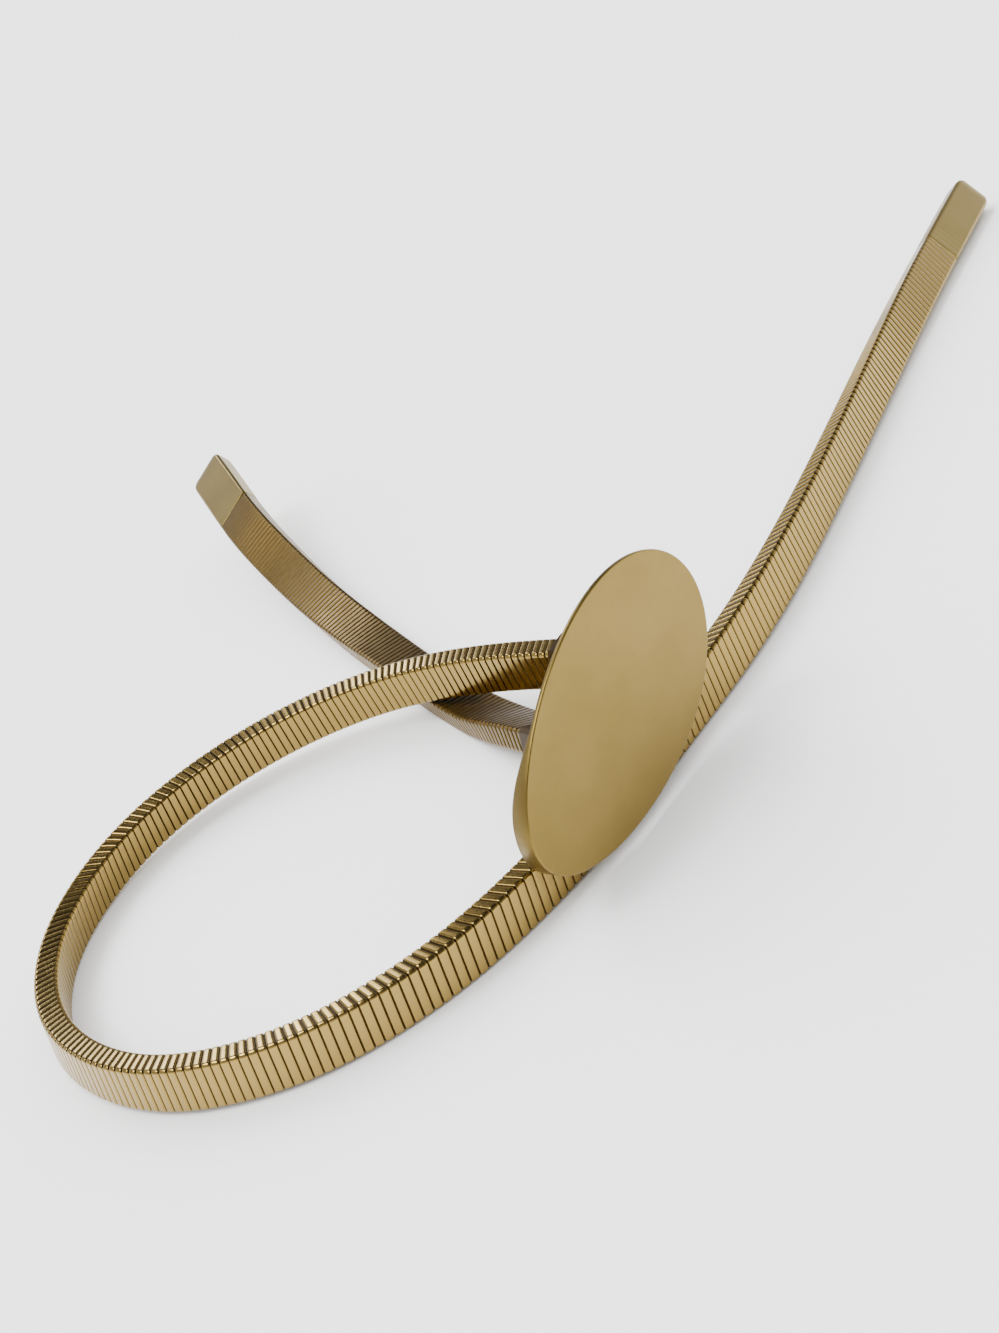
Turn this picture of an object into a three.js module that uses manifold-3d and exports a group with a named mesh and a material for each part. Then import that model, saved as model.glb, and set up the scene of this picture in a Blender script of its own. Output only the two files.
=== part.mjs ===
// Chain belt: two strands of a flat flexible band, wound from one metal strip, and a plain oval plaque.
// The long strand leaves the back of the plaque, goes round in a loop, passes behind the plaque again and
// runs on to its free end. The short strand passes under the long one and ends free on the other side.
// Millimetres, +Z up. The origin is the middle of the belt's footprint, on the surface that it lies on.

import * as THREE from 'three';
import { mergeVertices } from 'three/addons/utils/BufferGeometryUtils.js';
import Module from 'manifold-3d';

const wasm = await Module();
wasm.setup();

// The band: a rounded rectangle in section, its long side standing up where it lies on edge
const bandWidth = 10;
const bandThickness = 5.2;
const bandCornerCut = 0.84;
const turnPitch = 1.95;
const grooveDepth = 0.35;

// The ferrules on the free ends
const capLength = 34;
const capWall = 0.15;
const capNoseLength = 1.4;
const capNoseInset = 0.9;

// The plaque: a thin oval plate with one thick end. It stands just in front of the passing strand, and its
// right half is a little taller than its left half.
const plaqueLength = 64.6;
const plaqueHeight = 38.1;
const plaqueEgg = 0.12;
const plaqueThickness = 1.2;
const plaqueEndThickness = 4.2;
const plaqueEndShare = 0.92;
const plaqueThinShare = 0.38;
const plaqueBevel = 0.3;
const plaqueHeading = THREE.MathUtils.degToRad(36);
const plaqueTurn = THREE.MathUtils.degToRad(15.6);
const plaqueLift = 2.7;
const plaqueAlong = 4.8;
const plaqueToStrand = 0.6;
const plaqueSteps = 36;

// The bracket behind the plaque: a pad, two arms over the passing strand, and a socket for each strand
const padThickness = 1.6;
const padHeight = 7;
const padMargin = 2.5;
const padRise = 22;
const armWidth = 3;
const armHeight = 6;
const socketLength = 12;
const socketDepth = 3;
const socketWall = 0.6;

// The clearance between pieces that touch
const seatGap = 0.3;

// How far the belt reaches from side to side as it lies
const routeSpan = 300;

// The routes, from the bracket to the free end. x and y are the middle of the band in plan, as percentages of
// the route's span. lift is the height of its lower edge, in band thicknesses. tilt is how far its long side
// leans over from upright, in degrees. Where a row has a broad value, the band is that many times as wide.
const longRoute = [
  { x: -5.93, y: -28.1, lift: 1.519, tilt: 3 },
  { x: -12.87, y: -19.57, lift: 1.269, tilt: 4 },
  { x: -19.47, y: -13.7, lift: 0.942, tilt: 8 },
  { x: -26.63, y: -10.3, lift: 0.673, tilt: 10 },
  { x: -33.9, y: -9.27, lift: 0.442, tilt: 12 },
  { x: -40.7, y: -10.7, lift: 0.231, tilt: 14 },
  { x: -45.23, y: -13.93, lift: 0.077, tilt: 15 },
  { x: -48.1, y: -18.43, lift: 0, tilt: 16 },
  { x: -49.23, y: -23.9, lift: 0, tilt: 16 },
  { x: -48.5, y: -30.53, lift: 0, tilt: 15 },
  { x: -45.7, y: -36.6, lift: 0, tilt: 12 },
  { x: -41.7, y: -41.3, lift: 0, tilt: 9 },
  { x: -37.13, y: -44.37, lift: 0, tilt: 7 },
  { x: -31.57, y: -46.33, lift: 0, tilt: 4 },
  { x: -25.7, y: -46.73, lift: 0, tilt: 0 },
  { x: -20.03, y: -45.8, lift: 0, tilt: -3 },
  { x: -14.43, y: -43.6, lift: 0, tilt: -3 },
  { x: -8.7, y: -40.4, lift: 0, tilt: -3 },
  { x: -2.67, y: -36.27, lift: 0, tilt: 2 },
  { x: 3.8, y: -31.57, lift: 0, tilt: 8 },
  { x: 10.73, y: -25.3, lift: 0, tilt: 10 },
  { x: 18.37, y: -17.3, lift: 0, tilt: 12 },
  { x: 27, y: -7.8, lift: 0, tilt: 20 },
  { x: 35.9, y: 1.83, lift: 0, tilt: 30 },
  { x: 48.63, y: 14.73, lift: 0.019, tilt: 34 },
];
const passingRow = 17;

const shortRoute = [
  { x: -10.07, y: -32.3, lift: 0.788, tilt: 66 },
  { x: -11.63, y: -27.5, lift: 0.385, tilt: 70 },
  { x: -13.43, y: -21.43, lift: 0.019, tilt: 85 },
  { x: -15.89, y: -12.03, lift: 0, tilt: 88, broad: 1.02 },
  { x: -18.33, y: -1.57, lift: 0.058, tilt: 92, broad: 1.1 },
  { x: -20.8, y: 9.4, lift: 0.288, tilt: 104, broad: 1.18 },
  { x: -22.96, y: 20.47, lift: 0.962, tilt: 112, broad: 1.26 },
  { x: -24.8, y: 31.57, lift: 2.115, tilt: 117, broad: 1.33 },
  { x: -25.81, y: 44.86, lift: 3.269, tilt: 120, broad: 1.38 },
];

const up = new THREE.Vector3(0, 0, 1);

// A row's place in plan
function rowPoint(row) {
  return new THREE.Vector3(row.x, row.y, 0).multiplyScalar(routeSpan / 100);
}

// How far the band's section reaches below its middle at a given tilt
function reachBelow(tilt, broad) {
  const c = Math.abs(Math.cos(tilt));
  const s = Math.abs(Math.sin(tilt));
  const w = broad * bandWidth / 2;
  const t = bandThickness / 2;
  return Math.max(w * c + (t - bandCornerCut) * s, (w - bandCornerCut) * c + t * s);
}

// A natural cubic spline through the rows of values, at the given knots
function naturalSpline(knots, rows) {
  const n = knots.length;
  const columns = rows[0].length;
  const bends = rows.map(() => new Array(columns).fill(0));
  const ratio = new Array(n).fill(0);
  for (let i = 1; i < n - 1; i++) {
    const before = knots[i] - knots[i - 1];
    const after = knots[i + 1] - knots[i];
    const pivot = 2 * (before + after) - before * ratio[i - 1];
    ratio[i] = after / pivot;
    for (let k = 0; k < columns; k++) {
      const rise = (rows[i + 1][k] - rows[i][k]) / after - (rows[i][k] - rows[i - 1][k]) / before;
      bends[i][k] = (6 * rise - before * bends[i - 1][k]) / pivot;
    }
  }
  for (let i = n - 2; i > 0; i--) {
    for (let k = 0; k < columns; k++) bends[i][k] -= ratio[i] * bends[i + 1][k];
  }
  return (u) => {
    let i = 0;
    while (i < n - 2 && u > knots[i + 1]) i++;
    const span = knots[i + 1] - knots[i];
    const b = (u - knots[i]) / span;
    const a = 1 - b;
    return rows[i].map((value, k) => a * value + b * rows[i + 1][k]
      + ((a ** 3 - a) * bends[i][k] + (b ** 3 - b) * bends[i + 1][k]) * span * span / 6);
  };
}

// A strand's smooth middle line, measured along its length, with the band's section axes at each place
function makeStrand(route) {
  const rows = route.map((p) => {
    const tilt = THREE.MathUtils.degToRad(p.tilt);
    const broad = p.broad ?? 1;
    const plan = rowPoint(p);
    return [plan.x, plan.y, p.lift * bandThickness + reachBelow(tilt, broad), tilt, broad];
  });
  const knots = [0];
  for (let i = 1; i < rows.length; i++) {
    knots.push(knots[i - 1] + Math.hypot(rows[i][0] - rows[i - 1][0], rows[i][1] - rows[i - 1][1]));
  }
  const spline = naturalSpline(knots, rows);
  const stepsPerRow = 40;
  const steps = stepsPerRow * (rows.length - 1);
  const samples = [];
  for (let i = 0; i <= steps; i++) {
    const [x, y, z, tilt, broad] = spline(knots[knots.length - 1] * i / steps);
    samples.push({ point: new THREE.Vector3(x, y, z), tilt, broad, at: 0 });
    if (i > 0) samples[i].at = samples[i - 1].at + samples[i].point.distanceTo(samples[i - 1].point);
  }
  const length = samples[steps].at;

  function station(distance) {
    let i = 1;
    while (i < steps && samples[i].at < distance) i++;
    const a = samples[i - 1];
    const b = samples[i];
    const share = (distance - a.at) / (b.at - a.at);
    const middle = a.point.clone().lerp(b.point, share);
    const ahead = samples[Math.min(i + 1, steps)].point;
    const behind = samples[Math.max(i - 2, 0)].point;
    const along = ahead.clone().sub(behind).normalize();
    const tilt = a.tilt + (b.tilt - a.tilt) * share;
    const broad = a.broad + (b.broad - a.broad) * share;
    const side = up.clone().cross(along).normalize();
    const rise = along.clone().cross(side);
    const width = rise.multiplyScalar(Math.cos(tilt)).addScaledVector(side, Math.sin(tilt));
    const through = along.clone().cross(width);
    return { middle, along, width, through, broad };
  }

  return { length, station };
}

// The same section axes, moved straight along the band's direction
function moved(place, distance) {
  return { ...place, middle: place.middle.clone().addScaledVector(place.along, distance) };
}

function sectionPoint(place, w, t) {
  return place.middle.clone().addScaledVector(place.width, w).addScaledVector(place.through, t);
}

// The band's section with its corners cut, eight points, grown or shrunk by an allowance all round
function cutRing(place, grow = 0) {
  const w = place.broad * bandWidth / 2 + grow;
  const t = bandThickness / 2 + grow;
  const c = bandCornerCut;
  return [[w - c, t], [w, t - c], [w, c - t], [w - c, -t], [c - w, -t], [-w, c - t], [-w, t - c], [c - w, t]]
    .map(([a, b]) => sectionPoint(place, a, b));
}

// The groove between two turns: a plain rectangle inside the band's section, one point for each cut corner
function grooveRing(place) {
  const w = place.broad * bandWidth / 2 - grooveDepth;
  const t = bandThickness / 2 - grooveDepth;
  return [[w, t], [w, -t], [-w, -t], [-w, t]].map(([a, b]) => sectionPoint(place, a, b));
}

// Joins two rings with triangles. A corner of a four-point ring meets both ends of a cut corner.
function joinRings(a, b, firstA, firstB, faces) {
  if (a.length > b.length) {
    const turned = [];
    joinRings(b, a, firstB, firstA, turned);
    turned.forEach(([p, q, r]) => faces.push([p, r, q]));
    return;
  }
  const n = a.length;
  const perCorner = b.length / n;
  for (let i = 0; i < n; i++) {
    const a0 = firstA + i;
    const a1 = firstA + (i + 1) % n;
    const b0 = firstB + i * perCorner + perCorner - 1;
    const b1 = firstB + ((i + 1) * perCorner) % b.length;
    faces.push([a0, a1, b1], [a0, b1, b0]);
    if (perCorner > 1) faces.push([a0, b0, firstB + i * perCorner]);
  }
}

// Closes a ring from one of its points
function fanCap(first, count) {
  const faces = [];
  for (let k = 1; k < count - 1; k++) faces.push([first, first + k, first + k + 1]);
  return faces;
}

// Closes a ring with rungs between its upper and lower halves
function ladderCap(first, count) {
  const faces = [];
  for (let k = 0; k < count / 2; k++) {
    const opposite = (count - k) % count;
    if (k > 0) faces.push([first + k, first + k + 1, first + opposite]);
    if (k < count / 2 - 1) faces.push([first + k + 1, first + count - k - 1, first + opposite]);
  }
  return faces;
}

// A closed solid through a row of rings. The ends are flat unless another cap is given.
function loft(rings, cap = fanCap) {
  const points = rings.flat();
  const faces = [];
  let first = 0;
  for (let i = 0; i < rings.length - 1; i++) {
    joinRings(rings[i], rings[i + 1], first, first + rings[i].length, faces);
    first += rings[i].length;
  }
  cap(0, rings[0].length).forEach(([p, q, r]) => faces.push([p, r, q]));
  faces.push(...cap(first, rings[rings.length - 1].length));

  let volume = 0;
  faces.forEach(([p, q, r]) => { volume += points[p].dot(points[q].clone().cross(points[r])); });
  const index = faces.flatMap(([p, q, r]) => (volume < 0 ? [p, r, q] : [p, q, r]));
  const geometry = new THREE.BufferGeometry();
  geometry.setAttribute('position', new THREE.Float32BufferAttribute(points.flatMap((p) => p.toArray()), 3));
  geometry.setIndex(index);
  return geometry;
}

function toManifold(geometry) {
  const bare = geometry.clone();
  bare.deleteAttribute('normal');
  bare.deleteAttribute('uv');
  const merged = mergeVertices(bare);
  return new wasm.Manifold(new wasm.Mesh({
    numProp: 3,
    vertProperties: new Float32Array(merged.attributes.position.array),
    triVerts: new Uint32Array(merged.index.array),
  }));
}

function fromManifold(solid) {
  const mesh = solid.getMesh();
  const geometry = new THREE.BufferGeometry();
  geometry.setAttribute('position', new THREE.BufferAttribute(new Float32Array(mesh.vertProperties), 3));
  geometry.setIndex(new THREE.BufferAttribute(new Uint32Array(mesh.triVerts), 1));
  return geometry;
}

// The wound band: a full section at the middle of each turn, and a groove on each side of it
function bandGeometry(strand) {
  const length = strand.length - capLength - seatGap;
  const turns = Math.round(length / turnPitch);
  const pitch = length / turns;
  const rings = [grooveRing(strand.station(0))];
  for (let turn = 0; turn < turns; turn++) {
    rings.push(cutRing(strand.station((turn + 0.5) * pitch)));
    rings.push(grooveRing(strand.station((turn + 1) * pitch)));
  }
  return loft(rings);
}

// A ferrule closed at its nose, straight on from the last turn of the band
function capGeometry(strand) {
  const mouth = strand.station(strand.length - capLength);
  return loft([
    cutRing(mouth, capWall),
    cutRing(moved(mouth, capLength - capNoseLength), capWall),
    cutRing(moved(mouth, capLength), capWall - capNoseInset),
  ]);
}

// Half the plaque's outline is above its long axis and half below: points k and 2n - k have the same x
function ovalOutline(inset = 0) {
  const points = [];
  for (let k = 0; k < 2 * plaqueSteps; k++) {
    const turn = Math.PI * k / plaqueSteps;
    const x = Math.cos(turn);
    const y = Math.sin(turn) * (1 + plaqueEgg * x);
    points.push([x * (plaqueLength / 2 - inset), y * (plaqueHeight / 2 - inset)]);
  }
  return points;
}

// The plaque's own axes: along its length in plan, out of its front face, and the middle of that face
const longStrand = makeStrand(longRoute);
const shortStrand = makeStrand(shortRoute);
const plaqueAxis = new THREE.Vector3(Math.cos(plaqueHeading), Math.sin(plaqueHeading), 0);
const plaqueFront = plaqueAxis.clone().cross(up);
const plaqueOutline = ovalOutline();
const plaqueReach = Math.max(...plaqueOutline.map(([x, y]) => -x * Math.sin(plaqueTurn) - y * Math.cos(plaqueTurn)));
const plaqueMiddle = rowPoint(longRoute[passingRow])
  .addScaledVector(plaqueAxis, plaqueAlong)
  .addScaledVector(plaqueFront, bandThickness / 2 + plaqueToStrand + plaqueEndThickness)
  .setZ(plaqueLift + plaqueReach);

// Places a shape drawn flat in X and Y, and thick along Z, against the plaque's front plane
function plaqueMatrix(turn) {
  return new THREE.Matrix4()
    .makeBasis(plaqueAxis, up, plaqueFront)
    .setPosition(plaqueMiddle)
    .multiply(new THREE.Matrix4().makeRotationZ(turn));
}

// The plate is thin along most of its length, and thickens towards its left end
function plaqueDepth(x) {
  const share = -2 * x / plaqueLength;
  const blend = THREE.MathUtils.smoothstep(share, plaqueThinShare, plaqueEndShare);
  return THREE.MathUtils.lerp(plaqueThickness, plaqueEndThickness, blend);
}

function plaqueGeometry() {
  const face = ovalOutline(plaqueBevel);
  const depths = plaqueOutline.map(([x]) => plaqueDepth(x));
  const rings = [
    face.map(([x, y]) => new THREE.Vector3(x, y, 0)),
    plaqueOutline.map(([x, y]) => new THREE.Vector3(x, y, -plaqueBevel)),
    plaqueOutline.map(([x, y], k) => new THREE.Vector3(x, y, plaqueBevel - depths[k])),
    face.map(([x, y], k) => new THREE.Vector3(x, y, -depths[k])),
  ];
  return loft(rings, ladderCap).applyMatrix4(plaqueMatrix(plaqueTurn));
}

// A plain bar between a socket and the pad, upright at both ends
function armRing(middle) {
  const place = { middle, width: up, through: plaqueAxis };
  return [[1, 1], [1, -1], [-1, -1], [-1, 1]]
    .map(([a, b]) => sectionPoint(place, a * armHeight / 2, b * armWidth / 2));
}

// A point's distance along the plaque and out from its front plane
function besidePlaque(point) {
  const offset = point.clone().sub(plaqueMiddle);
  return { along: offset.dot(plaqueAxis), out: offset.dot(plaqueFront) };
}

function pointBehind(along, out, height) {
  return plaqueMiddle.clone()
    .addScaledVector(plaqueAxis, along)
    .addScaledVector(plaqueFront, out)
    .setZ(height);
}

// The bracket, one soldered solid: each socket takes the first millimetres of its strand
function bracketGeometry() {
  const padBack = -plaqueThickness - seatGap - padThickness;
  const overlap = 0.5;
  const armsAt = [];
  let solid = null;
  for (const strand of [longStrand, shortStrand]) {
    const start = strand.station(0);
    const outer = seatGap + socketWall;
    const back = socketDepth - socketLength;
    const socket = loft([cutRing(moved(start, back), outer), cutRing(moved(start, socketDepth), outer)]);
    const pocket = loft([cutRing(moved(start, -seatGap), seatGap), cutRing(moved(start, 2 * socketDepth), seatGap)]);
    const armStart = moved(start, back + overlap).middle;
    const { along, out } = besidePlaque(armStart);
    armsAt.push(along);
    const arm = loft([
      armRing(pointBehind(along, out, armStart.z)),
      armRing(pointBehind(along, padBack + overlap, padRise)),
    ]);
    const holder = toManifold(socket).subtract(toManifold(pocket)).add(toManifold(arm));
    solid = solid ? solid.add(holder) : holder;
  }
  const padLength = Math.abs(armsAt[0] - armsAt[1]) + 2 * padMargin;
  const padCentre = (armsAt[0] + armsAt[1]) / 2;
  const pad = new THREE.BoxGeometry(padLength, padHeight, padThickness);
  pad.translate(padCentre, padRise - plaqueMiddle.z, padBack + padThickness / 2);
  return fromManifold(solid.add(toManifold(pad.applyMatrix4(plaqueMatrix(0)))));
}

function goldTone(roughness) {
  return new THREE.MeshStandardMaterial({ color: 0xb9a06a, metalness: 1, roughness });
}

function makePiece(name, geometry, roughness) {
  const mesh = new THREE.Mesh(geometry, goldTone(roughness));
  mesh.name = name;
  return mesh;
}

const belt = new THREE.Group();
belt.add(makePiece('band_long', bandGeometry(longStrand), 0.25));
belt.add(makePiece('band_short', bandGeometry(shortStrand), 0.25));
belt.add(makePiece('end_cap_long', capGeometry(longStrand), 0.3));
belt.add(makePiece('end_cap_short', capGeometry(shortStrand), 0.3));
belt.add(makePiece('plaque', plaqueGeometry(), 0.4));
belt.add(makePiece('bracket', bracketGeometry(), 0.4));

// The belt is centred over the origin and stands on the plane z = 0
const extent = new THREE.Box3().setFromObject(belt);
const centre = extent.getCenter(new THREE.Vector3());
belt.position.set(-centre.x, -centre.y, -extent.min.z);
belt.updateMatrixWorld(true);

export default belt;
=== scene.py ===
# Chain belt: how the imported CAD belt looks. Six pieces, in the order in which the belt goes together.
# Lengths are millimetres in the belt's own route frame until a mesh is made, and metres after that.

import math

import bpy
import numpy as np
from mathutils import Matrix, Vector


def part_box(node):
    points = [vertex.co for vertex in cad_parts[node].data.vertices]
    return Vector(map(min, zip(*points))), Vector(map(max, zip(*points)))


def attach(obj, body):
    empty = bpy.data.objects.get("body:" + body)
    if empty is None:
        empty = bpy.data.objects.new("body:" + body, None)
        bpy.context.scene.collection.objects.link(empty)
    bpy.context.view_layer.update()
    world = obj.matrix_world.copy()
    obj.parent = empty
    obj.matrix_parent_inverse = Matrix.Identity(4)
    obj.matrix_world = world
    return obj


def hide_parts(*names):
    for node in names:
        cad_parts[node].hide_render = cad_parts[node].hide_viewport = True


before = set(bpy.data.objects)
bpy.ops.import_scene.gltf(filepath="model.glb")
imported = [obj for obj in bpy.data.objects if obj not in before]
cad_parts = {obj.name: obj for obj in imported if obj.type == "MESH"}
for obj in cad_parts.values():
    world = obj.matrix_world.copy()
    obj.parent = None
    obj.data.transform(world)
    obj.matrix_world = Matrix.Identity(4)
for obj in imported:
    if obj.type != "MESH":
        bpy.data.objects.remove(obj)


def write_size():
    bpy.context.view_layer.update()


write_size()


# Plaque
# The real one is a plain oval plate, plated pale gold and brushed, with a deep edge at its left end only.
# It was cut from sheet, and the thick end was soldered on and filed flush before plating.

METRES_PER_MM = 0.001
PLAQUE_LENGTH = 64.6
PLAQUE_HEIGHT = 38.1
PLAQUE_EGG = 0.12
PLAQUE_THICKNESS = 1.2
PLAQUE_END_THICKNESS = 4.2
PLAQUE_END_SHARE = 0.92
PLAQUE_THIN_SHARE = 0.38
PLAQUE_HEADING = math.radians(36)
PLAQUE_TURN = math.radians(15.6)
PLAQUE_BEVEL = 0.3
PLAQUE_BEVEL_STEPS = 4
PLAQUE_STEPS = 96
PLAQUE_GOLD = (0.219, 0.151, 0.042)
PLAQUE_GOLD_DARK = (0.198, 0.137, 0.036)
PLAQUE_GOLD_LIGHT = (0.238, 0.165, 0.049)


def oval(inset):
    """The plaque's outline, a little fuller at one end, drawn in by the inset."""
    turn = np.arange(2 * PLAQUE_STEPS) * np.pi / PLAQUE_STEPS
    x = np.cos(turn)
    y = np.sin(turn) * (1 + PLAQUE_EGG * x)
    return np.stack([x * (PLAQUE_LENGTH / 2 - inset), y * (PLAQUE_HEIGHT / 2 - inset)], axis=1)


def smooth_step(value, low, high):
    """Rises from 0 to 1 between two values, gently at both."""
    t = np.clip((value - low) / (high - low), 0, 1)
    return t * t * (3 - 2 * t)


def plaque_depth(x):
    """How deep the plaque is at each place along its length."""
    blend = smooth_step(-2 * x / PLAQUE_LENGTH, PLAQUE_THIN_SHARE, PLAQUE_END_SHARE)
    return PLAQUE_THICKNESS + (PLAQUE_END_THICKNESS - PLAQUE_THICKNESS) * blend


def make_mesh(name, points, faces):
    mesh = bpy.data.meshes.new(name)
    mesh.from_pydata([tuple(p) for p in points], [], faces)
    mesh.polygons.foreach_set("use_smooth", [True] * len(mesh.polygons))
    mesh.update()
    piece = bpy.data.objects.new(name, mesh)
    bpy.context.scene.collection.objects.link(piece)
    return piece


def ring_faces(rings, count):
    """Four-sided faces between closed rings of points that follow each other."""
    first = (np.arange(rings - 1)[:, None] * count + np.arange(count)[None, :]).ravel()
    after = (np.arange(rings - 1)[:, None] * count + (np.arange(count) + 1)[None, :] % count).ravel()
    return np.stack([first, after, after + count, first + count], axis=1).tolist()


def finish_piece(piece, node, material):
    """Gives a piece its material and puts it in the place of its plain solid."""
    piece.data.materials.append(material)
    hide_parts(node)
    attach(piece, "root")


def link(tree, source, output, target, socket):
    tree.links.new(source.outputs[output], target.inputs[socket])


def new_gold(name, base, roughness):
    """A plated metal of one colour and polish."""
    material = bpy.data.materials.new(name)
    material.use_nodes = True
    tree = material.node_tree
    shader = tree.nodes["Principled BSDF"]
    shader.inputs["Base Color"].default_value = (*base, 1)
    shader.inputs["Metallic"].default_value = 1
    shader.inputs["Roughness"].default_value = roughness
    return material, tree, shader


def add_noise(tree, scale, detail, stretch=(1, 1, 1)):
    coordinates = tree.nodes.new("ShaderNodeTexCoord")
    mapping = tree.nodes.new("ShaderNodeMapping")
    mapping.inputs["Scale"].default_value = stretch
    noise = tree.nodes.new("ShaderNodeTexNoise")
    noise.inputs["Scale"].default_value = scale
    noise.inputs["Detail"].default_value = detail
    link(tree, coordinates, "Object", mapping, "Vector")
    link(tree, mapping, "Vector", noise, "Vector")
    return noise


def spread(tree, source, output, low, high):
    """Turns the middle range of a noise into values from low to high."""
    span = tree.nodes.new("ShaderNodeMapRange")
    span.inputs["From Min"].default_value = 0.3
    span.inputs["From Max"].default_value = 0.7
    span.inputs["To Min"].default_value = low
    span.inputs["To Max"].default_value = high
    link(tree, source, output, span, "Value")
    return span


def add_bump(tree, shader, source, output, strength, distance):
    bump = tree.nodes.new("ShaderNodeBump")
    bump.inputs["Strength"].default_value = strength
    bump.inputs["Distance"].default_value = distance
    link(tree, source, output, bump, "Height")
    link(tree, bump, "Normal", shader, "Normal")


def tint(tree, shader, source, output, first, second):
    """Mixes the metal's colour from two, by the value of the source."""
    mix = tree.nodes.new("ShaderNodeMix")
    mix.data_type = "RGBA"
    mix.inputs["A"].default_value = (*first, 1)
    mix.inputs["B"].default_value = (*second, 1)
    link(tree, source, output, mix, "Factor")
    link(tree, mix, "Result", shader, "Base Color")


plaque_axis = np.array([math.cos(PLAQUE_HEADING), math.sin(PLAQUE_HEADING), 0])
plaque_front = np.array([math.sin(PLAQUE_HEADING), -math.cos(PLAQUE_HEADING), 0])
plaque_long = plaque_axis * math.cos(PLAQUE_TURN) + np.array([0, 0, math.sin(PLAQUE_TURN)])
plaque_short = np.array([0, 0, math.cos(PLAQUE_TURN)]) - plaque_axis * math.sin(PLAQUE_TURN)


def plaque_points(x, y, out):
    """Places on the leaning plaque: along it, up it and out of its front."""
    return x[:, None] * plaque_long + y[:, None] * plaque_short + out[:, None] * plaque_front


outline = oval(0)
end_depth = plaque_depth(outline[:, 0])
layers = []
for step in range(PLAQUE_BEVEL_STEPS + 1):
    arc = 0.5 * math.pi * step / PLAQUE_BEVEL_STEPS
    ring = oval(PLAQUE_BEVEL * (1 - math.sin(arc)))
    layers.append((ring, np.full(len(ring), -PLAQUE_BEVEL * (1 - math.cos(arc)))))
layers.append((outline, PLAQUE_BEVEL - end_depth))
layers.append((oval(PLAQUE_BEVEL), -end_depth))
plaque_shell = np.concatenate([plaque_points(ring[:, 0], ring[:, 1], out) for ring, out in layers])
plaque_count = 2 * PLAQUE_STEPS
plaque_faces = ring_faces(len(layers), plaque_count)
plaque_faces.append(list(range(plaque_count))[::-1])
# The back is curved, so it is closed by rungs from one side of the oval to the other
back = (len(layers) - 1) * plaque_count
for k in range(PLAQUE_STEPS):
    rung = [back + k, back + k + 1, back + plaque_count - k - 1, back + (plaque_count - k) % plaque_count]
    plaque_faces.append(list(dict.fromkeys(rung)))

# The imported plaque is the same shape, so it shows where the route frame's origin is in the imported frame
plaque_low = np.array(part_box("plaque")[0]) / METRES_PER_MM
plaque_middle = plaque_low - plaque_shell.min(0)
plaque = make_mesh("plaque_visual", (plaque_shell + plaque_middle) * METRES_PER_MM, plaque_faces)
for polygon in plaque.data.polygons:
    if len(polygon.vertices) > 4:
        polygon.use_smooth = False

plaque_gold, tree, shader = new_gold("plaque gold", PLAQUE_GOLD, 0.36)
mottle = add_noise(tree, 55, 4)
tint(tree, shader, spread(tree, mottle, "Fac", 0, 1), "Result", PLAQUE_GOLD_DARK, PLAQUE_GOLD_LIGHT)
grain = add_noise(tree, 260, 3, stretch=(1, 1, 9))
link(tree, spread(tree, grain, "Fac", 0.32, 0.42), "Result", shader, "Roughness")
add_bump(tree, shader, grain, "Fac", 0.08, 0.0002)
finish_piece(plaque, "plaque", plaque_gold)


# Bracket
# The real fixing is hidden behind the plaque, and only the mouth of one socket shows beside it.
# It stands for brass sockets soldered to arms and a pad, coloured a dark brown all over.

BRACKET_BROWN = (0.05, 0.03, 0.011)
BRACKET_SOFT_EDGE = 0.25

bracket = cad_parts["bracket"]
bracket.data.materials.clear()
bracket.data.materials.append(new_gold("bracket gold", BRACKET_BROWN, 0.48)[0])
soften = bracket.modifiers.new("soft edges", "BEVEL")
soften.width = BRACKET_SOFT_EDGE * METRES_PER_MM
soften.segments = 2


# Long band
# The real band is one brass strip, profiled and wound flat so that each turn hooks into the one before.
# It was plated pale gold after winding, and its faces are polished, with shade painted darker into the
# grooves between turns.

BAND_WIDTH = 10
BAND_THICKNESS = 5.2
BAND_CORNER = 0.75
# The plain solid has its corners cut off by this much, and its strands rest on them
SOLID_CORNER_CUT = 0.84
# A point this far inside each flat keeps the flats flat in the smooth shading
FLAT_MARGIN = 0.12
CORNER_STEPS = 3
TURN_PITCH = 1.95
CAP_LENGTH = 34
SEAT_GAP = 0.3
ROUTE_STEPS = 60
# The plaque stands beside this row of the long route: so far along it, off the surface and off the band
PASSING_ROW = 17
PLAQUE_ALONG = 4.8
PLAQUE_LIFT = 2.7
PLAQUE_TO_STRAND = 0.6

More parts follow.
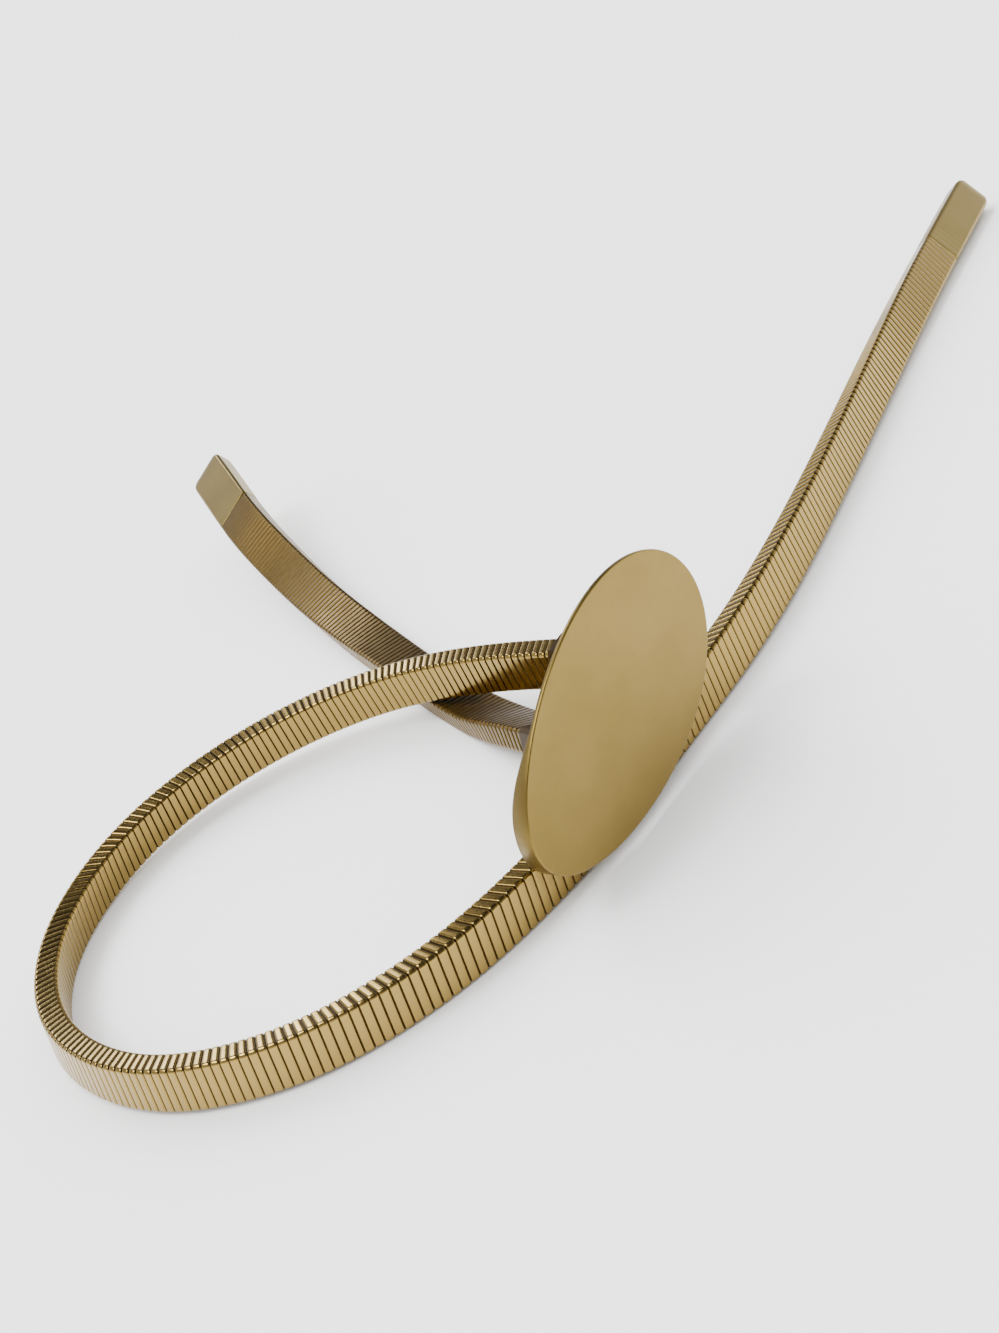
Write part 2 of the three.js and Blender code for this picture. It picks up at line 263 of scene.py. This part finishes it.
# Each row is x, y, the height of the lower edge, the tilt in degrees and the width as a share
LONG_ROUTE = [
    (-17.8, -84.3, 7.9, 3, 1),
    (-38.6, -58.7, 6.6, 4, 1),
    (-58.4, -41.1, 4.9, 8, 1),
    (-79.9, -30.9, 3.5, 10, 1),
    (-101.7, -27.8, 2.3, 12, 1),
    (-122.1, -32.1, 1.2, 14, 1),
    (-135.7, -41.8, 0.4, 15, 1),
    (-144.3, -55.3, 0, 16, 1),
    (-147.7, -71.7, 0, 16, 1),
    (-145.5, -91.6, 0, 15, 1),
    (-137.1, -109.8, 0, 12, 1),
    (-125.1, -123.9, 0, 9, 1),
    (-111.4, -133.1, 0, 7, 1),
    (-94.7, -139, 0, 4, 1),
    (-77.1, -140.2, 0, 0, 1),
    (-60.1, -137.4, 0, -3, 1),
    (-43.3, -130.8, 0, -3, 1),
    (-26.1, -121.2, 0, -3, 1),
    (-8, -108.8, 0, 2, 1),
    (11.4, -94.7, 0, 8, 1),
    (32.2, -75.9, 0, 10, 1),
    (55.1, -51.9, 0, 12, 1),
    (81, -23.4, 0, 20, 1),
    (107.7, 5.5, 0, 30, 1),
    (145.9, 44.2, 0.1, 34, 1),
]

# One turn: how far along its pitch, how deep it lies on the wide faces as a share of the groove's depth,
# and how deep it lies on the narrow edges, where each turn is rounded over like a bead
TURN_PROFILE = [
    (0.0, 1.0, 1.0),
    (0.05, 0.7, 0.7),
    (0.1, 0.16, 0.26),
    (0.17, 0.0, 0.05),
    (0.32, 0.0, 0.0),
    (0.5, 0.0, 0.0),
    (0.68, 0.0, 0.0),
    (0.83, 0.0, 0.05),
    (0.9, 0.16, 0.26),
    (0.95, 0.7, 0.7),
]
GROOVE_DEPTH = 0.34
# Over the last stretch before the ferrule the grooves grow shallower, down to this share of their depth
FADE_DEPTH = 0.15
FADE_LENGTH = 75
# The turns lean by this slope on both wide faces, opposite ways, and cross the narrow edges to meet there
TURN_SLANT = math.tan(math.radians(11))
# Painted shade darkens the gold in the grooves, between these shares of the groove's depth
SHADE_FROM = 0.06
SHADE_TO = 0.6
# The colour of the painted shade in the grooves, and the gold between the grooves
LONG_GROOVE_SHADE = (0.05, 0.03, 0.008)
LONG_GOLD = (0.31, 0.212, 0.062)


def reach_below(tilt, broad):
    """How far the band reaches below its middle line at each tilt and width."""
    c = np.abs(np.cos(tilt))
    s = np.abs(np.sin(tilt))
    w = broad * BAND_WIDTH / 2
    t = BAND_THICKNESS / 2
    return np.maximum(w * c + (t - SOLID_CORNER_CUT) * s, (w - SOLID_CORNER_CUT) * c + t * s)


def natural_spline(knots, rows, at):
    """A smooth curve through all the rows, free of bending at its ends."""
    n = len(knots)
    span = np.diff(knots)
    system = np.eye(n)
    load = np.zeros((n, rows.shape[1]))
    for i in range(1, n - 1):
        system[i, i - 1:i + 2] = span[i - 1], 2 * (span[i - 1] + span[i]), span[i]
        load[i] = 6 * ((rows[i + 1] - rows[i]) / span[i] - (rows[i] - rows[i - 1]) / span[i - 1])
    bend = np.linalg.solve(system, load)
    i = np.clip(np.searchsorted(knots, at, side="right") - 1, 0, n - 2)
    b = ((at - knots[i]) / span[i])[:, None]
    a = 1 - b
    step = (span[i] ** 2)[:, None] / 6
    return a * rows[i] + b * rows[i + 1] + ((a ** 3 - a) * bend[i] + (b ** 3 - b) * bend[i + 1]) * step


def make_strand(route):
    """Finely spaced places on a strand, each with its run, width and thickness directions."""
    table = np.array(route, float)
    tilt = np.radians(table[:, 3])
    middle = table[:, 2] + reach_below(tilt, table[:, 4])
    rows = np.stack([table[:, 0], table[:, 1], middle, tilt, table[:, 4]], axis=1)
    knots = np.concatenate([[0], np.cumsum(np.hypot(*np.diff(rows[:, :2], axis=0).T))])
    fine = natural_spline(knots, rows, np.linspace(0, knots[-1], ROUTE_STEPS * (len(route) - 1) + 1))
    place = fine[:, :3]
    at = np.concatenate([[0], np.cumsum(np.linalg.norm(np.diff(place, axis=0), axis=1))])
    along = np.gradient(place, at, axis=0)
    along /= np.linalg.norm(along, axis=1)[:, None]
    side = np.cross([0, 0, 1], along)
    side /= np.linalg.norm(side, axis=1)[:, None]
    rise = np.cross(along, side)
    lean = fine[:, 3:4]
    width = np.cos(lean) * rise + np.sin(lean) * side
    through = np.cross(along, width)
    columns = np.concatenate([place, along, width, through, fine[:, 4:5]], axis=1)
    return {"length": at[-1], "at": at, "columns": columns}


def strand_at(strand, distance):
    """Place, run, width and thickness directions and width share at each distance along the strand."""
    flat = np.clip(distance.ravel(), 0, strand["length"])
    columns = strand["columns"]
    found = np.stack([np.interp(flat, strand["at"], column) for column in columns.T], axis=1)
    found = found.reshape(*distance.shape, -1)
    return found[..., 0:3], found[..., 3:6], found[..., 6:9], found[..., 9:12], found[..., 12:13]


def section_points():
    """Outline points and outward normals of the rounded section, clockwise from its upper right corner."""
    half_w = BAND_WIDTH / 2
    half_t = BAND_THICKNESS / 2
    points = []
    normals = []
    for right, upper, start in ((1, 1, 90), (1, -1, 0), (-1, -1, -90), (-1, 1, -180)):
        for step in range(CORNER_STEPS + 1):
            turn = math.radians(start - 90 * step / CORNER_STEPS)
            out = (math.cos(turn), math.sin(turn))
            normals.append(out)
            points.append((right * (half_w - BAND_CORNER) + BAND_CORNER * out[0],
                           upper * (half_t - BAND_CORNER) + BAND_CORNER * out[1]))
        if right == upper:
            near = upper * (half_t - BAND_CORNER - FLAT_MARGIN)
            normals += [(right, 0)] * 3
            points += [(right * half_w, near), (right * half_w, 0), (right * half_w, -near)]
        else:
            near = right * (half_w - BAND_CORNER - FLAT_MARGIN)
            normals += [(0, upper)] * 3
            points += [(near, upper * half_t), (0, upper * half_t), (-near, upper * half_t)]
    return np.array(points), np.array(normals)


def place_section(strand, distance, depth):
    """Section points at each distance along the strand, sunk by depth along the section's normals."""
    points, normals = section_points()
    middle, along, width, through, broad = strand_at(strand, distance)
    widen = np.sign(points[:, :1]) * (broad - 1) * BAND_WIDTH / 2
    place = middle + width * (points[:, :1] + widen) + through * points[:, 1:]
    outward = width * normals[:, :1] + through * normals[:, 1:]
    return place - outward * depth[..., None]


def tube_mesh(name, shape, groove):
    """A closed mesh through rows of section points, with how deep each point lies stored for its material."""
    rings, count = groove.shape
    faces = ring_faces(rings, count)
    end = (rings - 1) * count
    faces.append(list(range(count))[::-1])
    faces.append(list(range(end, end + count)))
    piece = make_mesh(name, (shape.reshape(-1, 3) + belt_shift) * METRES_PER_MM, faces)
    stored = piece.data.attributes.new("groove", "FLOAT", "POINT")
    stored.data.foreach_set("value", groove.ravel().astype(np.float32))
    return piece


def turn_depths(turns):
    """Stations in turns, and the depth share of every section point there."""
    profile = np.array(TURN_PROFILE)
    station = (np.arange(turns)[:, None] + profile[None, :, 0]).ravel()
    edge_share = np.abs(section_points()[1][:, 0])[None, :]
    face = np.tile(profile[:, 1], turns)[:, None]
    bead = np.tile(profile[:, 2], turns)[:, None]
    return station, face + (bead - face) * edge_share


def band_mesh(name, strand):
    """All the turns of a strand, from behind the plaque to the mouth of its ferrule."""
    length = strand["length"] - CAP_LENGTH - SEAT_GAP
    turns = round(length / TURN_PITCH)
    pitch = length / turns
    station, depth = turn_depths(turns)
    station = np.append(station, turns) * pitch
    depth = np.vstack([depth, depth[:1]])
    depth *= 1 - (1 - FADE_DEPTH) * smooth_step(station, length - FADE_LENGTH, length)[:, None]
    points = section_points()[0]
    slant = TURN_SLANT * points[:, 0] * points[:, 1] / (BAND_THICKNESS / 2)
    distance = np.clip(station[:, None] + slant[None, :], 0, length)
    shape = place_section(strand, distance, depth * GROOVE_DEPTH)
    return tube_mesh(name, shape, depth)


def band_gold(name, groove_shade_colour, land_colour, polish):
    """Polished gold with shade painted into the grooves."""
    material, tree, shader = new_gold(name, land_colour, polish)
    groove = tree.nodes.new("ShaderNodeAttribute")
    groove.attribute_name = "groove"
    span = tree.nodes.new("ShaderNodeMapRange")
    span.inputs["From Min"].default_value = SHADE_FROM
    span.inputs["From Max"].default_value = SHADE_TO
    link(tree, groove, "Fac", span, "Value")
    # Painted shade: the gold turns to the groove colour as the groove deepens
    tint(tree, shader, span, "Result", land_colour, groove_shade_colour)
    wear = add_noise(tree, 220, 3)
    link(tree, spread(tree, wear, "Fac", polish - 0.04, polish + 0.06), "Result", shader, "Roughness")
    add_bump(tree, shader, wear, "Fac", 0.05, 0.0002)
    return material


long_strand = make_strand(LONG_ROUTE)
passing = np.array([*LONG_ROUTE[PASSING_ROW][:2], 0])
front_to_route = BAND_THICKNESS / 2 + PLAQUE_TO_STRAND + PLAQUE_END_THICKNESS
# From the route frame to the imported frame
belt_shift = plaque_middle - (passing + plaque_axis * PLAQUE_ALONG + plaque_front * front_to_route)
belt_shift[2] = plaque_low[2] - PLAQUE_LIFT

band_long = band_mesh("band_long_visual", long_strand)
finish_piece(band_long, "band_long", band_gold("long band gold", LONG_GROOVE_SHADE, LONG_GOLD, 0.2))


# Long end cap
# The real ferrule is a drawn brass tube, closed at its nose, pressed over the last turns and plated.
# It is satin rather than polished.

CAP_WALL = 0.15
# The wall is dressed down to this share at the mouth
MOUTH_SHARE = 0.3
# The seam between the ferrule's mouth and the last free turn
MOUTH_GAP = 0.06
# The nose is rounded over this length, and draws in by these shares of the ferrule's width and thickness
NOSE_LENGTH = 4
NOSE_WIDTH_SHARE = 0.45
NOSE_FACE_SHARE = 0.4
NOSE_STEPS = 7
# The ribs of so many turns still show through the wall
FADE_TURNS = 7
CAP_GOLD = (0.28, 0.2, 0.057)
CAP_GOLD_DARK = (0.26, 0.186, 0.05)
CAP_GOLD_LIGHT = (0.3, 0.215, 0.067)


def cap_mesh(name, strand):
    """The ferrule is pressed over the last turns, so their ribs show through it and fade towards its nose."""
    mouth = strand["length"] - CAP_LENGTH
    station, ribs = turn_depths(FADE_TURNS)
    run = (station / FADE_TURNS)[:, None]
    depth = ribs * FADE_DEPTH * (1 - run) ** 1.5
    sunk = depth * GROOVE_DEPTH - CAP_WALL * (MOUTH_SHARE + (1 - MOUTH_SHARE) * run)
    nose = 0.5 * np.pi * np.arange(NOSE_STEPS + 1) / NOSE_STEPS
    reach = np.concatenate([station * TURN_PITCH, CAP_LENGTH - NOSE_LENGTH * (1 - np.sin(nose))])
    reach[0] = MOUTH_GAP - SEAT_GAP
    plain = np.zeros((len(nose), ribs.shape[1]))
    depth = np.vstack([depth, plain])
    shape = place_section(strand, np.full(depth.shape, mouth), np.vstack([sunk, plain - CAP_WALL]))
    middle, along, width, through = (part[0] for part in strand_at(strand, np.array([mouth]))[:4])
    taper = np.concatenate([np.zeros(len(station)), 1 - np.cos(nose)])[:, None, None]
    offset = shape - middle
    for direction, share in ((width, NOSE_WIDTH_SHARE), (through, NOSE_FACE_SHARE)):
        shape = shape - taper * share * (offset @ direction)[..., None] * direction
    return tube_mesh(name, shape + along * reach[:, None, None], depth)


def cap_gold(name):
    """Satin gold, a little cloudy."""
    material, tree, shader = new_gold(name, CAP_GOLD, 0.34)
    cloud = add_noise(tree, 90, 4)
    tint(tree, shader, spread(tree, cloud, "Fac", 0, 1), "Result", CAP_GOLD_DARK, CAP_GOLD_LIGHT)
    link(tree, spread(tree, cloud, "Fac", 0.28, 0.4), "Result", shader, "Roughness")
    add_bump(tree, shader, cloud, "Fac", 0.05, 0.0004)
    return material


end_cap_long = cap_mesh("end_cap_long_visual", long_strand)
finish_piece(end_cap_long, "end_cap_long", cap_gold("long cap gold"))


# Short band
# The same wound strip as the long band, held in the other socket, with its gold painted darker as shade.
# It lies almost flat, and towards its free end it widens and springs up off the surface.

# Both colours are darker than the long band's: painted shade, for the dark surround this strand mirrors
SHORT_GROOVE_SHADE = (0.04, 0.024, 0.005)
SHORT_GOLD_SHADED = (0.14, 0.086, 0.017)

# The same columns as the long route
SHORT_ROUTE = [
    (-30.2, -96.9, 4.1, 66, 1),
    (-34.9, -82.5, 2, 70, 1),
    (-40.3, -64.3, 0.1, 85, 1),
    (-47.7, -36.1, 0, 88, 1.02),
    (-55, -4.7, 0.3, 92, 1.1),
    (-62.4, 28.2, 1.5, 104, 1.18),
    (-68.9, 61.4, 5, 112, 1.26),
    (-74.4, 94.7, 11, 117, 1.33),
    (-77.4, 134.6, 17, 120, 1.38),
]

short_strand = make_strand(SHORT_ROUTE)
band_short = band_mesh("band_short_visual", short_strand)
finish_piece(band_short, "band_short", band_gold("short band gold", SHORT_GROOVE_SHADE, SHORT_GOLD_SHADED, 0.32))


# Short end cap
# The same drawn and plated ferrule as on the long band.
# It is pressed over the last turns of the short band, and its nose is closed.

end_cap_short = cap_mesh("end_cap_short_visual", short_strand)
finish_piece(end_cap_short, "end_cap_short", cap_gold("short cap gold"))


# Floor, light and camera
# A pale matt table, and a pale surround with a window low at the back and a skylight high on the left.
# Two broad lights from behind give the soft shadows. The camera looks down and is rolled, as for the photo.

# In metres, so that the table's far edge lies outside the picture
FLOOR_SIZE = 400
FLOOR_TONE = 0.85
# How bright the surround is, by the sine of the height above the horizon
HEIGHT_TONES = [(0, 1), (0.2, 0.85), (0.36, 0.7), (0.55, 0.44), (0.8, 0.2), (1, 0.15)]
# And by how far to the side, from 0 at the far left to 1 at the far right
SIDE_TONES = [(0, 1.5), (0.12, 1.3), (0.26, 1.7), (0.38, 1.0), (0.5, 0.7), (0.6, 0.5), (0.85, 1.5), (1, 1.6)]
WINDOW_TONE = 11
SKYLIGHT_TONE = 14


def grey(tone):
    return tone, tone, tone, 1


half = FLOOR_SIZE / 2
floor_corners = [(-half, -half, 0), (half, -half, 0), (half, half, 0), (-half, half, 0)]
floor = make_mesh("floor", floor_corners, [[0, 1, 2, 3]])
paper = bpy.data.materials.new("pale table")
paper.use_nodes = True
matt = paper.node_tree.nodes["Principled BSDF"]
matt.inputs["Base Color"].default_value = grey(FLOOR_TONE)
matt.inputs["Roughness"].default_value = 0.9
matt.inputs["Specular IOR Level"].default_value = 0.1
floor.data.materials.append(paper)

world = bpy.data.worlds.new("studio")
world.use_nodes = True
bpy.context.scene.world = world
sky = world.node_tree
background = sky.nodes["Background"]
direction = sky.nodes.new("ShaderNodeTexCoord")
parts = sky.nodes.new("ShaderNodeSeparateXYZ")
link(sky, direction, "Generated", parts, "Vector")
across = sky.nodes.new("ShaderNodeMapRange")
across.inputs["From Min"].default_value = -1
across.inputs["From Max"].default_value = 1
link(sky, parts, "X", across, "Value")
compass = sky.nodes.new("ShaderNodeMath")
compass.operation = "ARCTAN2"
link(sky, parts, "X", compass, 0)
link(sky, parts, "Y", compass, 1)


def tone_ramp(rows):
    """A ramp of greys. Each row is a place and the tone there, from the first row at 0 to the last at 1."""
    ramp = sky.nodes.new("ShaderNodeValToRGB")
    stops = ramp.color_ramp.elements
    stops[0].color = grey(rows[0][1])
    stops[1].color = grey(rows[-1][1])
    for position, tone in rows[1:-1]:
        stops.new(position).color = grey(tone)
    return ramp


def window_side(source, output, dark, bright):
    """Rises from 0 to 1 between two values of the source."""
    side = sky.nodes.new("ShaderNodeMapRange")
    side.interpolation_type = "SMOOTHSTEP"
    side.inputs["From Min"].default_value = dark
    side.inputs["From Max"].default_value = bright
    link(sky, source, output, side, "Value")
    return side


def add_window(tone, left, right, foot, head):
    """A soft-edged bright patch. Each side gives in degrees where it is still dark and where fully bright."""
    sides = [window_side(compass, "Value", *map(math.radians, side)) for side in (left, right)]
    for side in (foot, head):
        sides.append(window_side(parts, "Z", *(math.sin(math.radians(angle)) for angle in side)))
    patch = sky.nodes.new("ShaderNodeMath")
    patch.operation = "MULTIPLY"
    patch.inputs[1].default_value = tone
    link(sky, sides[0], "Result", patch, 0)
    for side in sides[1:]:
        darker = sky.nodes.new("ShaderNodeMath")
        darker.operation = "MULTIPLY"
        link(sky, patch, "Value", darker, 0)
        link(sky, side, "Result", darker, 1)
        patch = darker
    return patch


height = tone_ramp(HEIGHT_TONES)
link(sky, parts, "Z", height, "Fac")
sideways = tone_ramp(SIDE_TONES)
link(sky, across, "Result", sideways, "Fac")
surround = sky.nodes.new("ShaderNodeVectorMath")
surround.operation = "MULTIPLY"
link(sky, height, "Color", surround, 0)
link(sky, sideways, "Color", surround, 1)

window = add_window(WINDOW_TONE, left=(-20, -15), right=(-8, -11), foot=(16, 22), head=(41, 32))
# The skylight reaches the wedge between the strands by way of their reflections
skylight = add_window(SKYLIGHT_TONE, left=(-105, -90), right=(-42, -54), foot=(46, 53), head=(80, 72))
both = sky.nodes.new("ShaderNodeMath")
both.operation = "ADD"
link(sky, window, "Value", both, 0)
link(sky, skylight, "Value", both, 1)
whole = sky.nodes.new("ShaderNodeVectorMath")
whole.operation = "ADD"
link(sky, surround, "Vector", whole, 0)
link(sky, both, "Value", whole, 1)
link(sky, whole, "Vector", background, "Color")


def soft_sun(name, bearing, elevation, spread_angle, strength):
    """A broad light from a bearing, in degrees east of the far side, that polished metal doesn't mirror."""
    lamp = bpy.data.lights.new(name, "SUN")
    lamp.angle = math.radians(spread_angle)
    lamp.energy = strength
    holder = bpy.data.objects.new(name, lamp)
    a = math.radians(bearing)
    e = math.radians(elevation)
    towards = Vector((math.sin(a) * math.cos(e), math.cos(a) * math.cos(e), math.sin(e)))
    holder.rotation_euler = towards.to_track_quat("Z", "Y").to_euler()
    holder.visible_glossy = False
    bpy.context.scene.collection.objects.link(holder)


soft_sun("key light", bearing=-15, elevation=42, spread_angle=34, strength=2.2)
soft_sun("fill light", bearing=-15, elevation=75, spread_angle=140, strength=6.7)

# The camera's place is in the route frame, and the photo is this many pixels high
CAMERA_PLACE = (-32, -376.52, 171.36)
CAMERA_ELEVATION = math.radians(27.12)
CAMERA_ROLL = math.radians(31.28)
FOCAL_PIXELS = 1641.5
PHOTO_HEIGHT = 1333
SENSOR = 36

camera_data = bpy.data.cameras.new("camera")
camera_data.sensor_width = SENSOR
camera_data.lens = FOCAL_PIXELS / PHOTO_HEIGHT * SENSOR
camera_data.clip_start = 0.01
camera_data.clip_end = 100
camera = bpy.data.objects.new("camera", camera_data)
bpy.context.scene.collection.objects.link(camera)
level_right = Vector((1, 0, 0))
level_down = Vector((0, -math.sin(CAMERA_ELEVATION), -math.cos(CAMERA_ELEVATION)))
ahead = Vector((0, math.cos(CAMERA_ELEVATION), -math.sin(CAMERA_ELEVATION)))
camera_right = level_right * math.cos(CAMERA_ROLL) + level_down * math.sin(CAMERA_ROLL)
camera_up = level_right * math.sin(CAMERA_ROLL) - level_down * math.cos(CAMERA_ROLL)
turned = Matrix((camera_right, camera_up, -ahead)).transposed()
camera.location = (Vector(CAMERA_PLACE) + Vector(belt_shift)) * METRES_PER_MM
camera.rotation_euler = turned.to_euler()
bpy.context.scene.camera = camera

write_size()
